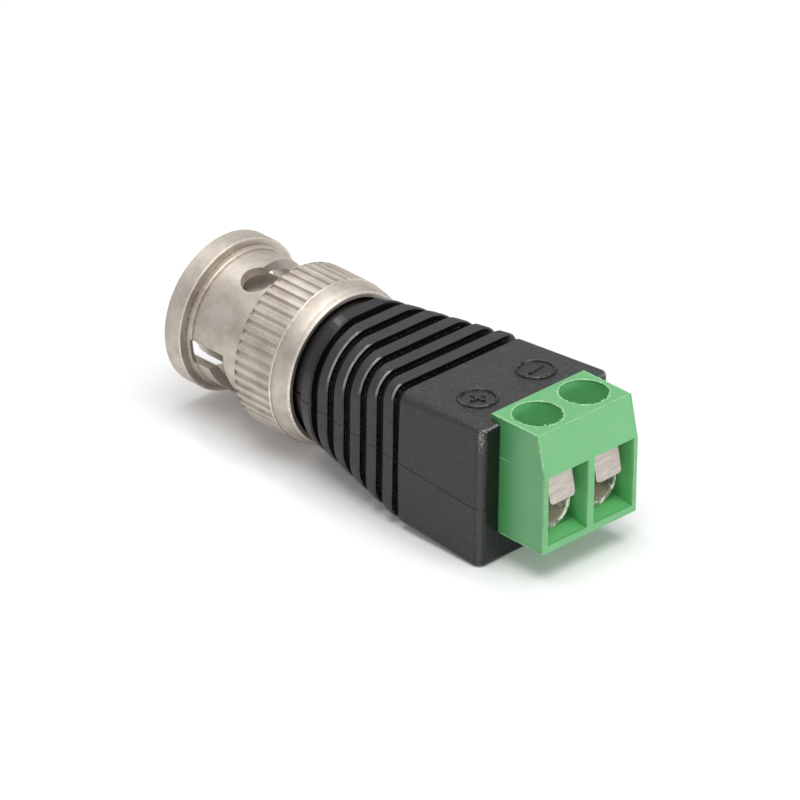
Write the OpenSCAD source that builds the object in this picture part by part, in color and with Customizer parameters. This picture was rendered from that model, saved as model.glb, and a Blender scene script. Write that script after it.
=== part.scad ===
// Bayonet plug to screw terminal adapter, in millimetres.
// X runs from the plug's mouth to the wire openings, Z is up, and the origin is
// the middle of the outer contact's front rim, on the axis of the plug.

/* [Coupling nut] */
// How far the nut's mouth stands ahead of the outer contact
mouth_overhang = 0.8; // [0.4:0.1:1.2]
// Bore of the nut
nut_bore_d = 9.9; // [9.8:0.05:10.1]
// Outside of the slotted tube
nut_tube_d = 11.5; // [11.2:0.1:11.9]
// Diameter of the front flange
flange_d = 13.2; // [12.8:0.1:13.6]
// Length of the front flange
flange_length = 1.85; // [1.5:0.05:2.2]
// Diameter of the small step behind the flange
flange_step_d = 12.1; // [12:0.05:12.4]
// Length of the small step behind the flange
flange_step_length = 0.45; // [0.3:0.05:0.6]
// Diameter over the knurl
knurl_d = 13.9; // [13.6:0.1:14.2]
// Distance from the mouth to the front of the knurl
knurl_start = 8.4; // [8.2:0.1:8.8]
// Length of the knurl
knurl_length = 4.3; // [3.8:0.1:4.6]
// Number of flutes in the knurl
flute_count = 50; // [40:1:56]
// Width of one flute
flute_w = 0.5; // [0.4:0.02:0.56]
// Depth of one flute
flute_depth = 0.22; // [0.15:0.01:0.26]
// Diameter at the nut's rear rim
rear_rim_d = 12.9; // [12.7:0.05:13.1]
// Bore of the skirt behind the nut's inner lip
skirt_bore_d = 12.1; // [11.9:0.05:12.3]
// Length of the skirt behind the nut's inner lip
skirt_length = 2.05; // [1.9:0.05:2.6]
// Thickness of the inner lip that carries the spring load
lip_t = 1.0; // [0.8:0.05:1.2]

/* [Bayonet slots] */
// Width of the slots for the studs of the mating socket
slot_w = 2.2; // [2:0.05:2.4]
// Diameter at the floor of the entry channels
channel_d = 11.1; // [11:0.05:11.3]
// Distance from the mouth to the middle of the ramp where a stud enters it
ramp_start = 4.95; // [4.6:0.05:5.2]
// How far the ramp climbs along the axis
ramp_rise = 1.5; // [1.2:0.05:1.7]
// Distance from the mouth to the middle of the lock hole
lock_reach = 5.9; // [5.6:0.05:6.1]
// Diameter of the lock hole
lock_d = 2.9; // [2.5:0.05:3]
// Turn from the entry channel's edge to the lock hole
lock_angle = 108.5; // [100:0.5:112]

/* [Plug inside the nut] */
// Diameter of the slotted outer contact
contact_d = 8.1; // [8:0.02:8.2]
// Wall of the outer contact
contact_wall = 0.55; // [0.45:0.05:0.65]
// Diameter of the outer contact's base, which is seated in the plug body
contact_base_d = 7.7; // [7.6:0.02:7.74]
// Number of spring fingers on the outer contact
finger_count = 4; // [3:1:6]
// Width of the slits between the fingers
finger_slit_w = 0.5; // [0.4:0.05:0.7]
// Length of the slits between the fingers
finger_slit_length = 4.6; // [4:0.1:5]
// Diameter of the centre pin's front
pin_d = 1.35; // [1.3:0.01:1.4]
// Diameter of the centre pin's collar in the insulator
pin_collar_d = 1.7; // [1.66:0.02:1.8]
// Diameter of the centre pin's shank
pin_shank_d = 1.9; // [1.85:0.05:2.1]
// How far the centre pin's tip sits behind the rim
pin_setback = 0.3; // [0.2:0.05:0.5]
// Distance from the rim to the insulator's front face
insulator_face = 5.3; // [5.1:0.05:5.5]
// Distance from the rim to the gasket's front face
gasket_face = 6.2; // [6:0.05:6.4]
// Thickness of the rubber gasket
gasket_t = 1.0; // [0.8:0.05:1.2]
// Thickness of the plug body's front flange
body_flange_t = 1.7; // [1.5:0.05:2]
// Radial gap between the plug body's flange and the nut's bore
flange_gap = 0.2; // [0.15:0.05:0.3]
// Journal of the plug body that the nut turns on
journal_d = 7.4; // [7.3:0.05:7.45]
// Radial running clearance of the nut's lip on the journal
journal_gap = 0.1; // [0.06:0.01:0.15]
// Bore of the plug body behind the outer contact
body_bore_d = 5.8; // [5.6:0.1:5.9]
// Height of the wave washer at rest
wave_h = 1.2; // [1.1:0.05:1.4]
// Thickness of the wave washer's strip
wave_t = 0.2; // [0.15:0.05:0.25]
// Thickness of the flat thrust washer
thrust_t = 0.35; // [0.3:0.05:0.5]
// Thickness of the retaining ring
ring_t = 0.5; // [0.4:0.05:0.6]
// Depth of the retaining ring's groove in the journal
ring_groove_depth = 0.4; // [0.3:0.05:0.45]
// Length of the plug body's tail inside the moulding
tail_length = 3.4; // [3.3:0.1:4]
// Distance from the front of the neck to the tail's first groove
tail_groove_reach = 0.9; // [0.8:0.05:1]
// Distance from the tail's first groove to the second
tail_groove_pitch = 1.2; // [1.1:0.05:1.3]
// Width of the tail's grooves
tail_groove_w = 0.6; // [0.5:0.05:0.7]
// Depth of the tail's grooves
tail_groove_depth = 0.4; // [0.3:0.05:0.45]
// Length of the solder tongue behind the tail
tongue_length = 3.2; // [2.8:0.1:3.6]
// How far the centre pin's end stands behind the tail
pin_end_reach = 1.8; // [1.6:0.1:2]
// Length of the solder flat on the centre pin
solder_flat_length = 2.2; // [2:0.1:2.4]

/* [Moulded body] */
// Diameter of the round neck that enters the nut
neck_d = 11.6; // [11.4:0.05:11.7]
// How far the neck reaches into the nut's skirt
neck_overlap = 0.6; // [0.4:0.05:0.8]
// Length of the smooth neck between the nut and the first rib
neck_show = 1.08; // [0.9:0.02:1.3]
// Diameter of the taper where it starts
taper_d = 12.5; // [12.3:0.05:12.7]
// Height of the flat top above the axis where the taper starts
taper_top = 6.15; // [6:0.01:6.2]
// Radius of the corners where the taper starts
taper_round = 5.95; // [5.5:0.05:6.1]
// Height of the flat top above the axis where the block starts
waist_top = 5.56; // [5.4:0.02:5.8]
// Radius of the corners where the block starts
waist_round = 1.1; // [0.8:0.1:1.6]
// How much higher the corners' arcs would reach than the ribs' flat tops
shoulder = 0.2; // [0.1:0.05:0.3]
// Number of ribs on the taper
rib_count = 6; // [4:1:7]
// Distance from one rib to the next
rib_pitch = 1.95; // [1.85:0.05:2.1]
// Width of one rib
rib_w = 1.14; // [1.04:0.02:1.3]
// Depth of the grooves between the ribs
groove_depth = 0.7; // [0.5:0.05:0.9]
// How much wider the block's rear end is than the knurl
block_flare = 0.4; // [0.2:0.05:0.5]
// Height of the block's top above the axis at its rear end
block_top = 5.85; // [5.7:0.05:6]
// Depth of the block's underside below the axis
block_bottom = 6.3; // [6.1:0.05:6.6]
// Length of the block behind the last groove
block_length = 9.17; // [9:0.01:9.5]
// Rounding of the edges of the block's top, underside and rear face
block_round = 0.35; // [0.25:0.05:0.5]
// Rounding of the block's upright rear edges
upright_round = 0.8; // [0.6:0.05:1]
// How far the parting line is below the axis
parting_drop = 0.7; // [0.4:0.05:0.9]
// How much each side leans in from the parting line to the top and underside
side_draft = 0.1; // [0.05:0.01:0.15]

/* [Terminal block] */
// Distance between the two poles
pole_pitch = 5.08; // [5:0.01:5.2]
// Height of the terminal's top above the axis
terminal_top = 6.36; // [6.3:0.02:6.6]
// Depth of the terminal's underside below the axis
terminal_bottom = 3.69; // [3.6:0.01:3.8]
// How far the terminal stands out of the moulded body
terminal_proud = 4.95; // [4.8:0.01:5.1]
// Length of the terminal's exposed top
terminal_top_length = 5.04; // [4.9:0.02:5.2]
// How far the top's front edge sits behind the front face
front_slope_run = 0.91; // [0.8:0.01:1]
// Height of the front face's upper edge above the axis
front_face_top = 2.94; // [2.9:0.01:3.1]
// Length of the terminal's low rear part inside the moulded body
terminal_rear_length = 2.15; // [2:0.05:2.4]
// How far the rear part's top is below the exposed top
rear_step = 1.3; // [1.2:0.05:1.5]
// Wall at the terminal's sides
side_wall = 0.4; // [0.35:0.01:0.45]
// Wall between the poles
mid_wall = 0.7; // [0.6:0.02:0.8]
// Diameter of the screwdriver holes
driver_hole_d = 4.07; // [4.02:0.01:4.12]
// Distance from the terminal's front face to the screws' axes
screw_inset = 3.45; // [3.4:0.01:3.5]
// Height of the wire openings' upper edge above the axis
opening_top = 2.9; // [2.8:0.02:2.9]
// Depth of the front sill below the axis
sill_depth = 3.07; // [3.02:0.01:3.12]

/* [Clamps] */
// Outside width of the wire trough
trough_w = 3.66; // [3.56:0.02:3.7]
// Thickness of the trough's strip
strip_t = 0.35; // [0.32:0.01:0.38]
// Distance from the terminal's front face back to the trough's mouth
trough_setback = 1.55; // [1.45:0.05:1.6]
// Length of the trough along the wire
trough_length = 4.0; // [3.9:0.05:4.1]
// Height of the threaded bridge's upper face above the axis
bridge_top = 1.75; // [1.7:0.01:1.78]
// Thickness of the threaded bridge
bridge_t = 1.0; // [0.9:0.05:1]
// Width of the solder tail behind each trough
tail_w = 1.0; // [0.9:0.05:1.1]
// Thickness of the solder tail
tail_t = 0.6; // [0.5:0.05:0.7]
// Length of each solder tail inside the moulded body
tail_reach = 2.4; // [2.2:0.1:2.8]
// Width of the wire guard's plate
guard_w = 2.73; // [2.66:0.01:2.78]
// Thickness of the wire guard's strip
guard_t = 0.28; // [0.24:0.01:0.3]
// Height of the wire guard's plate
guard_h = 2.75; // [2.6:0.01:2.8]
// Lean of the wire guard's plate, its foot forward
guard_lean = 12.5; // [11:0.5:14]
// Distance from the terminal's front face back to the plate's foot
guard_setback = 0.52; // [0.48:0.02:0.56]
// Width of the tongue that the screw presses on
tongue_w = 1.6; // [1.4:0.05:1.7]
// Height of the tongue's upper face below the axis
tongue_drop = 0.9; // [0.85:0.01:0.92]
// Diameter of the clamping screws' threads
screw_d = 2.4; // [2.3:0.02:2.44]
// Radial gap between a screw and its thread
screw_gap = 0.05; // [0.03:0.01:0.08]
// Diameter of the screw heads
head_d = 3.7; // [3.6:0.02:3.76]
// Height of the screw heads
head_h = 1.3; // [1.2:0.05:1.35]
// Depth of the screw heads below the terminal's top, as in the photograph
head_depth = 2.15; // [2.1:0.01:2.2]
// Turn of the plus screw's slot, as in the photograph
plus_screw_turn = 35; // [0:5:175]
// Turn of the minus screw's slot, as in the photograph
minus_screw_turn = 160; // [0:5:175]
// Width of the slot in each screw head
driver_slot_w = 0.6; // [0.5:0.05:0.7]
// Depth of the slot in each screw head
driver_slot_depth = 0.7; // [0.6:0.05:0.8]

/* [Wires inside] */
// Diameter of the copper wires
wire_d = 1.0; // [0.9:0.02:1.04]
// Wall of the insulating sleeve on the signal wire
sleeve_wall = 0.3; // [0.25:0.05:0.4]
// Bare length of the signal wire at the centre pin
bare_at_pin = 3.0; // [2.8:0.1:3.4]
// Bare length of the signal wire at the plus tail
bare_at_tail = 3.2; // [3:0.1:3.6]

/* [Hidden] */
$fn = 96;

// Clearances
seat_gap = 0.02;
mould_gap = 0.03;
washer_gap = 0.05;
ring_gap = 0.1;
slack = 1;

// Places along the axis, from the mouth back
nut_front = -mouth_overhang;
body_front = gasket_face + gasket_t;
flange_back = body_front + body_flange_t;
wave_back = flange_back + wave_h;
thrust_back = wave_back + thrust_t;
lip_front = thrust_back + washer_gap;
lip_back = lip_front + lip_t;
nut_back = lip_back + skirt_length;
ring_front = lip_back + ring_gap;
ring_back = ring_front + ring_t;
knurl_front = nut_front + knurl_start;
knurl_back = knurl_front + knurl_length;
neck_front = nut_back - neck_overlap;
ribs_front = nut_back + neck_show;
block_front = ribs_front + rib_count * rib_pitch;
block_back = block_front + block_length;
terminal_front = block_back + terminal_proud;
tail_back = neck_front + tail_length;
tongue_back = tail_back + tongue_length;

// The plug's inner radii
contact_r = contact_d / 2;
contact_bore_r = contact_r - contact_wall;
contact_base_r = contact_base_d / 2;
journal_r = journal_d / 2;
body_flange_r = nut_bore_d / 2 - flange_gap;
counterbore_depth = body_flange_t - 0.3;
contact_back = body_front + counterbore_depth;
insulator_stem_r = body_bore_d / 2 - seat_gap;
insulator_back = neck_front + 1.4;
pin_tip = pin_setback;
pin_shoulder = insulator_face + 1.0;
pin_shank_r = pin_shank_d / 2;
pin_collar_r = pin_collar_d / 2;
pin_back = tail_back + pin_end_reach;
flat_front = pin_back - solder_flat_length;

// The moulding's widths where the block starts and at its rear end
waist_w = knurl_d;
block_w = knurl_d + block_flare;

// The terminal's places
half_terminal_w = pole_pitch;
terminal_exposed_back = terminal_front - front_slope_run - terminal_top_length;
terminal_back = terminal_exposed_back - terminal_rear_length;
opening_w = pole_pitch - side_wall - mid_wall / 2;
opening_y = mid_wall / 2 + opening_w / 2;
pole_y = pole_pitch / 2;
screw_x = terminal_front - screw_inset;
trough_r = trough_w / 2;
trough_front = terminal_front - trough_setback;
trough_back = trough_front - trough_length;
trough_floor = -2.82;
cavity_back = trough_back - 0.1;
head_top = terminal_top - head_depth;
screw_tip = -tongue_drop + washer_gap;
tail_top = 0;
guard_foot = terminal_front - guard_setback;
guard_rise = bridge_top - bridge_t + tongue_drop - 0.35;
tail_end = terminal_back - tail_reach;
wire_z = wire_d / 2 + seat_gap;
ground_overrun = 1.2;

// Puts what is drawn along Z onto the X axis, starting at x
module along_x(x = 0) {
  translate([x, 0, 0]) rotate([0, 90, 0]) children();
}

// A round bar along X, of radius r, from x0 to x1
module bar_x(r, x0, x1) {
  along_x(x0) cylinder(r = r, h = x1 - x0);
}

// A ring about the X axis, from x0 to x1
module ring_x(r_in, r_out, x0, x1) {
  difference() {
    bar_x(r_out, x0, x1);
    bar_x(r_in, x0 - slack, x1 + slack);
  }
}

// Revolves a list of [radius, x] points about the X axis
module turned(points) {
  along_x() rotate_extrude() polygon(points);
}

// Extrudes an outline of [y, z] points along X, from x0 to x1
module along_wire(x0, x1) {
  translate([x0, 0, 0]) rotate([90, 0, 90]) linear_extrude(x1 - x0) children();
}

// Extrudes an outline of [x, z] points across Y, w wide about y
module across(w, y = 0) {
  translate([0, y + w / 2, 0]) rotate([90, 0, 0]) linear_extrude(w) children();
}

// Coupling nut

// One bayonet slot: entry channel, ramp and lock hole, entering at +Y
module bayonet_slot() {
  reach = nut_tube_d / 2 + slack;
  mid_r = (nut_bore_d + nut_tube_d) / 4;
  window_front = nut_front + flange_length + flange_step_length;
  ramp_from = asin(slot_w / 2 / mid_r);
  ramp_mid = (ramp_from + lock_angle) / 2;
  half_chord = mid_r * sin((lock_angle - ramp_from) / 2);
  ramp_x = nut_front + ramp_start + ramp_rise / 2;
  intersection() {
    translate([nut_front - slack, 0, 0]) cube([flange_length + ramp_start, reach, slot_w]);
    bar_x(channel_d / 2, nut_front - slack, nut_front + ramp_start);
  }
  translate([window_front, 0, 0])
    cube([nut_front + ramp_start + slot_w / 2 - window_front, reach, slot_w]);
  intersection() {
    rotate([ramp_mid, 0, 0]) translate([ramp_x, 0, 0]) rotate([0, atan(ramp_rise / 2 / half_chord), 0])
      translate([-slot_w / 2, 0, -reach]) cube([slot_w, reach, 2 * reach]);
    along_wire(nut_front, knurl_front + slack) polygon([
      [0, 0],
      2 * reach * [cos(ramp_from), sin(ramp_from)],
      2 * reach * [cos(ramp_mid), sin(ramp_mid)],
      2 * reach * [cos(lock_angle), sin(lock_angle)]
    ]);
    bar_x(reach, nut_front, knurl_front + slack);
  }
  rotate([lock_angle, 0, 0]) translate([nut_front + lock_reach, nut_bore_d / 2 - slack, 0])
    rotate([-90, 0, 0]) cylinder(d = lock_d, h = reach);
}

// The turned blank, before slots and knurl
module nut_blank() {
  rim_r = rear_rim_d / 2;
  band_r = knurl_d / 2 - 0.1;
  steps = 6;
  band_length = nut_back - 0.1 - knurl_back;
  band = [
    for (i = [0 : steps])
      [rim_r + (band_r - rim_r) * sqrt(1 - pow(i / steps, 2)), knurl_back + band_length * i / steps]
  ];
  turned(concat(
    [
      [nut_bore_d / 2 + 0.3, nut_front],
      [flange_d / 2 - 0.15, nut_front],
      [flange_d / 2, nut_front + 0.15],
      [flange_d / 2, nut_front + flange_length - 0.1],
      [flange_d / 2 - 0.1, nut_front + flange_length],
      [flange_step_d / 2, nut_front + flange_length],
      [flange_step_d / 2, nut_front + flange_length + flange_step_length - 0.1],
      [nut_tube_d / 2 + 0.1, nut_front + flange_length + flange_step_length],
      [nut_tube_d / 2, nut_front + flange_length + flange_step_length + 0.15],
      [nut_tube_d / 2, knurl_front],
      [knurl_d / 2 - 0.2, knurl_front],
      [knurl_d / 2, knurl_front + 0.25],
      [knurl_d / 2, knurl_back]
    ],
    band,
    [
      [rim_r - 0.1, nut_back],
      [skirt_bore_d / 2, nut_back],
      [skirt_bore_d / 2, lip_back],
      [journal_r + journal_gap, lip_back],
      [journal_r + journal_gap, lip_front],
      [nut_bore_d / 2, lip_front],
      [nut_bore_d / 2, nut_front + 0.3]
    ]
  ));
}

module coupling_nut() {
  flute_margin = 0.2;
  flute_r = (pow(flute_w / 2, 2) + pow(flute_depth, 2)) / (2 * flute_depth);
  color("silver") difference() {
    nut_blank();
    for (side = [0, 180]) rotate([side, 0, 0]) bayonet_slot();
    for (i = [0 : flute_count - 1])
      rotate([i * 360 / flute_count, 0, 0])
        translate([knurl_front + flute_margin, knurl_d / 2 - flute_depth + flute_r, 0])
          rotate([0, 90, 0]) cylinder(r = flute_r, h = knurl_length - 2 * flute_margin, $fn = 24);
  }
}

// Spring and washers

// The flat washer between the spring and the nut's lip
module thrust_washer() {
  color("gainsboro") ring_x(journal_r + journal_gap, body_flange_r, wave_back, thrust_back);
}

// A thin spring ring with three waves, bearing on both of its neighbours
module wave_washer() {
  waves = 3;
  sides = 72;
  r_in = journal_r + journal_gap + 0.05;
  r_out = body_flange_r;
  swing = (wave_h - wave_t) / 2;
  points = [
    for (i = [0 : sides - 1], corner = [[r_in, 0], [r_out, 0], [r_out, wave_t], [r_in, wave_t]])
      let (a = i * 360 / sides)
        [flange_back + swing * (1 + cos(waves * a)) + corner[1], corner[0] * cos(a), corner[0] * sin(a)]
  ];
  faces = [
    for (i = [0 : sides - 1], k = [0 : 3])
      let (j = (i + 1) % sides, m = (k + 1) % 4)
        [4 * i + k, 4 * j + k, 4 * j + m, 4 * i + m]
  ];
  color("lightsteelblue") polyhedron(points, faces, convexity = 6);
}

// A split ring sprung into the journal's groove, behind the nut's lip
module retaining_ring() {
  gap_w = 1.6;
  color("lightslategray") difference() {
    ring_x(journal_r - ring_groove_depth + seat_gap, body_flange_r, ring_front, ring_back);
    translate([ring_front - slack, -gap_w / 2, 0]) cube([ring_t + 2 * slack, gap_w, nut_bore_d]);
  }
}

// Plug

// The half-round tongue that the ground wire is soldered to
module solder_tongue(grow = 0) {
  intersection() {
    difference() {
      bar_x(body_bore_d / 2 + 0.5 + grow, tail_back - 0.5, tongue_back + grow);
      bar_x(body_bore_d / 2 - grow, tail_back - slack, tongue_back + slack);
    }
    translate([tail_back - slack, -nut_bore_d, -nut_bore_d - 0.6 + grow])
      cube([tongue_length + 2 * slack, 2 * nut_bore_d, nut_bore_d]);
  }
}

// The plug body's tail with the two grooves that the moulding grips
module tail_bar(grow = 0) {
  r = journal_r + grow;
  difference() {
    bar_x(r, neck_front - slack, tail_back + grow);
    for (i = [0, 1])
      let (x = neck_front + tail_groove_reach + i * tail_groove_pitch)
        ring_x(r - tail_groove_depth, r + slack, x + grow, x + tail_groove_w - grow);
  }
}

module plug_body() {
  color("khaki") {
    difference() {
      union() {
        bar_x(body_flange_r, body_front, flange_back);
        bar_x(journal_r, flange_back, neck_front);
        tail_bar();
      }
      bar_x(contact_base_r + seat_gap, body_front - slack, contact_back);
      bar_x(body_bore_d / 2, body_front, tail_back + slack);
      ring_x(journal_r - ring_groove_depth, journal_r + slack, ring_front - seat_gap, ring_back + seat_gap);
    }
    solder_tongue();
  }
}

// The outer contact with its sprung fingers
module outer_contact() {
  color("silver") difference() {
    turned([
      [contact_bore_r + 0.3, 0],
      [contact_r, 0],
      [contact_r, gasket_face - washer_gap],
      [contact_base_r, gasket_face - washer_gap],
      [contact_base_r, contact_back - seat_gap],
      [contact_bore_r, contact_back - seat_gap],
      [contact_bore_r, 0.5]
    ]);
    for (i = [0 : finger_count - 1])
      rotate([45 + i * 360 / finger_count, 0, 0])
        translate([-slack, 0, -finger_slit_w / 2])
          cube([finger_slit_length + slack, contact_d, finger_slit_w]);
  }
}

// The white insulator, a stepped bush that holds the pin on the axis
module insulator() {
  hole_r = pin_shank_r + seat_gap;
  color("white") turned([
    [pin_collar_r + seat_gap, insulator_face],
    [contact_bore_r - seat_gap - 0.2, insulator_face],
    [contact_bore_r - seat_gap, insulator_face + 0.2],
    [contact_bore_r - seat_gap, contact_back - seat_gap],
    [insulator_stem_r, contact_back - seat_gap],
    [insulator_stem_r, insulator_back],
    [hole_r, insulator_back],
    [hole_r, pin_shoulder - seat_gap],
    [pin_collar_r + seat_gap, pin_shoulder - seat_gap]
  ]);
}

// The centre pin, with a rounded tip and a flat that the signal wire is soldered to
module centre_pin() {
  color("gold") difference() {
    turned([
      [0, pin_tip],
      [pin_d / 2 * 0.45, pin_tip + 0.1],
      [pin_d / 2, pin_tip + 0.6],
      [pin_d / 2, insulator_face - washer_gap],
      [pin_collar_r, insulator_face - washer_gap],
      [pin_collar_r, pin_shoulder],
      [pin_shank_r, pin_shoulder],
      [pin_shank_r, pin_back],
      [0, pin_back]
    ]);
    translate([flat_front, -pin_shank_d, 0]) cube([pin_back, 2 * pin_shank_d, pin_shank_d]);
  }
}

// The rubber gasket that the socket's rim bears on
module gasket() {
  color("dimgray") ring_x(contact_base_r + seat_gap, body_flange_r, gasket_face, body_front);
}

// Wires inside the moulding

// A round bar of diameter d on the line from a to b, cut t0 past a and t1 past b
module rod(a, b, d, t0 = 0, t1 = 0) {
  v = b - a;
  u = v / norm(v);
  translate(a + t0 * u) rotate([0, acos(u[2]), atan2(u[1], u[0])])
    cylinder(d = d, h = norm(v) + t1 - t0, $fn = 32);
}

// The signal wire lies on the pin's solder flat and on the plus tail
module signal_run(d, t0 = 0, t1 = 0) {
  rod([flat_front + 0.3, 0, wire_z], [terminal_back - 0.6, -pole_y, wire_z], d, t0, t1);
}

// The ground wire rises from the solder tongue and rests on the end of the minus tail
module ground_run(d, t0 = 0, t1 = ground_overrun) {
  rod([tail_back + 0.8, 1.3, -body_bore_d * 0.34], [tail_end, pole_y, wire_z + 0.03], d, t0, t1);
}

// The stretch of the signal wire that the insulating sleeve covers
module sleeve_run(d, extra = 0) {
  signal_run(d, bare_at_pin - extra, extra - bare_at_tail);
}

module signal_wire() {
  color("peru") signal_run(wire_d);
}

module ground_wire() {
  color("peru") ground_run(wire_d);
}

module signal_sleeve() {
  color("firebrick") difference() {
    sleeve_run(wire_d + 2 * sleeve_wall + 2 * seat_gap);
    sleeve_run(wire_d + 2 * seat_gap, slack);
  }
}

// Moulded body

// A value that goes evenly from the taper's start to the block's front
function along_taper(from, to, x) = from + (to - from) * (x - ribs_front) / (block_front - ribs_front);

// The outline's corner radius, half width, flat top and underside at x
function corner_at(x) = along_taper(taper_round, waist_round, x);
function half_w_at(x) = along_taper(taper_d / 2, waist_w / 2, x);
function top_at(x) = along_taper(taper_top, waist_top, x);
function bottom_at(x) = along_taper(taper_d / 2, block_bottom, x);

// A thin slice of the ribs' outline at x, as four round corners, pulled in by inset
module outline_corners(x, inset = 0) {
  corner = corner_at(x);
  y = half_w_at(x) - corner;
  for (side = [-y, y], z = [top_at(x) + shoulder - corner, corner - bottom_at(x)])
    translate([x, side, z]) rotate([0, 90, 0]) cylinder(r = corner - inset, h = 0.01, $fn = 72);
}

// One rib of the taper, its shoulders cut off by the flat top
module rib(i) {
  soft = 0.14;
  x0 = ribs_front + i * rib_pitch;
  x1 = x0 + rib_w;
  difference() {
    hull() {
      outline_corners(x0, soft);
      outline_corners(x0 + soft);
      outline_corners(x1 - soft);
      outline_corners(x1, soft);
    }
    translate([x0 - slack, -block_w, top_at(x0 + rib_w / 2)]) cube([rib_w + 2 * slack, 2 * block_w, slack]);
  }
}

// The floor of the groove behind a rib, as a solid core
module groove_core(i) {
  x0 = ribs_front + i * rib_pitch + rib_w / 2;
  x = x0 + rib_pitch / 2;
  half_w = half_w_at(x) - groove_depth;
  top = top_at(x) - groove_depth;
  bottom = bottom_at(x) - groove_depth;
  r = max(corner_at(x) - groove_depth, 0.4);
  along_wire(x0, x0 + rib_pitch) union() {
    translate([r - half_w, -bottom]) square([2 * (half_w - r), top + bottom]);
    translate([-half_w, r - bottom]) square([2 * half_w, top + bottom - 2 * r]);
    for (y = [r - half_w, half_w - r], z = [top - r, r - bottom])
      translate([y, z]) circle(r = r);
  }
}

// A rounded corner of the block's rear end, about an upright axis
module block_corner() {
  rotate_extrude($fn = 48) translate([upright_round - block_round, 0]) circle(r = block_round, $fn = 24);
}

// The block, from the outline of the last groove to its rounded rear end, its
// sides leaning in above and below the parting line
module block() {
  x1 = block_back - upright_round;
  y0 = waist_w / 2 - side_draft - waist_round;
  y1 = block_w / 2 - upright_round;
  thin = 0.01;
  hull() {
    for (y = [-y0, y0], z = [waist_top - waist_round, waist_round - block_bottom])
      translate([block_front, y, z]) rotate([0, 90, 0]) cylinder(r = waist_round, h = thin, $fn = 48);
    translate([block_front, -waist_w / 2, -parting_drop]) cube([thin, waist_w, thin]);
    for (y = [side_draft - y1, y1 - side_draft], z = [block_top - block_round, block_round - block_bottom])
      translate([x1, y, z]) block_corner();
    for (y = [-y1, y1])
      translate([x1, y, -parting_drop]) cylinder(r = upright_round, h = thin, $fn = 48);
  }
}

// The stepped side outline of the terminal, grown by g on every side
module terminal_outline(g = 0) {
  polygon([
    [terminal_back - g, -terminal_bottom - g],
    [terminal_front + g, -terminal_bottom - g],
    [terminal_front + g, front_face_top],
    [terminal_front - front_slope_run + g, terminal_top + g],
    [terminal_exposed_back - g, terminal_top + g],
    [terminal_exposed_back - g, terminal_top - rear_step + g],
    [terminal_back - g, terminal_top - rear_step + g]
  ]);
}

module body_housing() {
  color([0.13, 0.13, 0.14]) difference() {
    union() {
      bar_x(neck_d / 2, neck_front, ribs_front + rib_w / 2);
      for (i = [0 : rib_count - 1]) rib(i);
      for (i = [0 : rib_count - 1]) groove_core(i);
      block();
    }
    tail_bar(mould_gap);
    solder_tongue(mould_gap);
    bar_x(pin_shank_r + mould_gap, tail_back - slack, pin_back + mould_gap);
    signal_run(wire_d + 2 * mould_gap, -mould_gap, mould_gap);
    ground_run(wire_d + 2 * mould_gap, -mould_gap, ground_overrun + mould_gap);
    sleeve_run(wire_d + 2 * sleeve_wall + 4 * mould_gap, mould_gap);
    for (y = [-pole_y, pole_y]) solder_tail(y, mould_gap);
    across(2 * half_terminal_w + 2 * mould_gap) terminal_outline(mould_gap);
  }
}

// Terminal block

// One pole's cavity, open at the front, with a sill that falls to the face
module pole_cavity() {
  across(opening_w) polygon([
    [cavity_back, trough_floor],
    [trough_front, trough_floor],
    [terminal_front - 0.3, -sill_depth],
    [terminal_front + slack, -sill_depth],
    [terminal_front + slack, opening_top],
    [cavity_back, opening_top]
  ]);
}

// The slot in the front wall that the wire guard's plate rises into
module guard_slot() {
  gap = 0.15;
  top = guard_h + guard_rise + gap;
  back = guard_foot - guard_t / cos(guard_lean) - tan(guard_lean) * guard_h - gap;
  front = guard_foot - tan(guard_lean) * (opening_top - guard_rise) + gap;
  across(guard_w + 2 * gap) polygon([
    [back, opening_top - slack],
    [front, opening_top - slack],
    [front, opening_top],
    [front - tan(guard_lean) * (top - opening_top), top],
    [back, top]
  ]);
}

module terminal_housing() {
  side_step = 0.04;
  color("mediumseagreen") difference() {
    across(2 * half_terminal_w) terminal_outline();
    for (side = [-1, 1]) {
      translate([0, side * opening_y, 0]) pole_cavity();
      translate([0, side * pole_y, 0]) guard_slot();
      translate([screw_x, side * pole_y, opening_top - slack])
        cylinder(d = driver_hole_d, h = terminal_top - opening_top + 2 * slack);
      solder_tail(side * pole_y, seat_gap);
      translate([block_back - slack, side * (half_terminal_w + slack - side_step) - slack, front_face_top])
        cube([terminal_proud + 2 * slack, 2 * slack, terminal_top]);
    }
  }
}

// Clamps

// The flat tail that a wire is soldered on, from the trough to its end
module solder_tail(y, grow = 0) {
  translate([tail_end - grow, y - tail_w / 2 - grow, tail_top - tail_t - grow])
    cube([trough_back - tail_end + 0.1 + grow, tail_w + 2 * grow, tail_t + 2 * grow]);
}

// The section of the trough: a strip bent round into a D with a thick bridge
module trough_section(inset) {
  r = trough_r - inset;
  axis_z = trough_floor + seat_gap + trough_r;
  top = inset > 0 ? bridge_top - bridge_t : bridge_top;
  translate([0, axis_z]) circle(r = r);
  translate([-r, axis_z]) square([2 * r, top - axis_z]);
}

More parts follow.
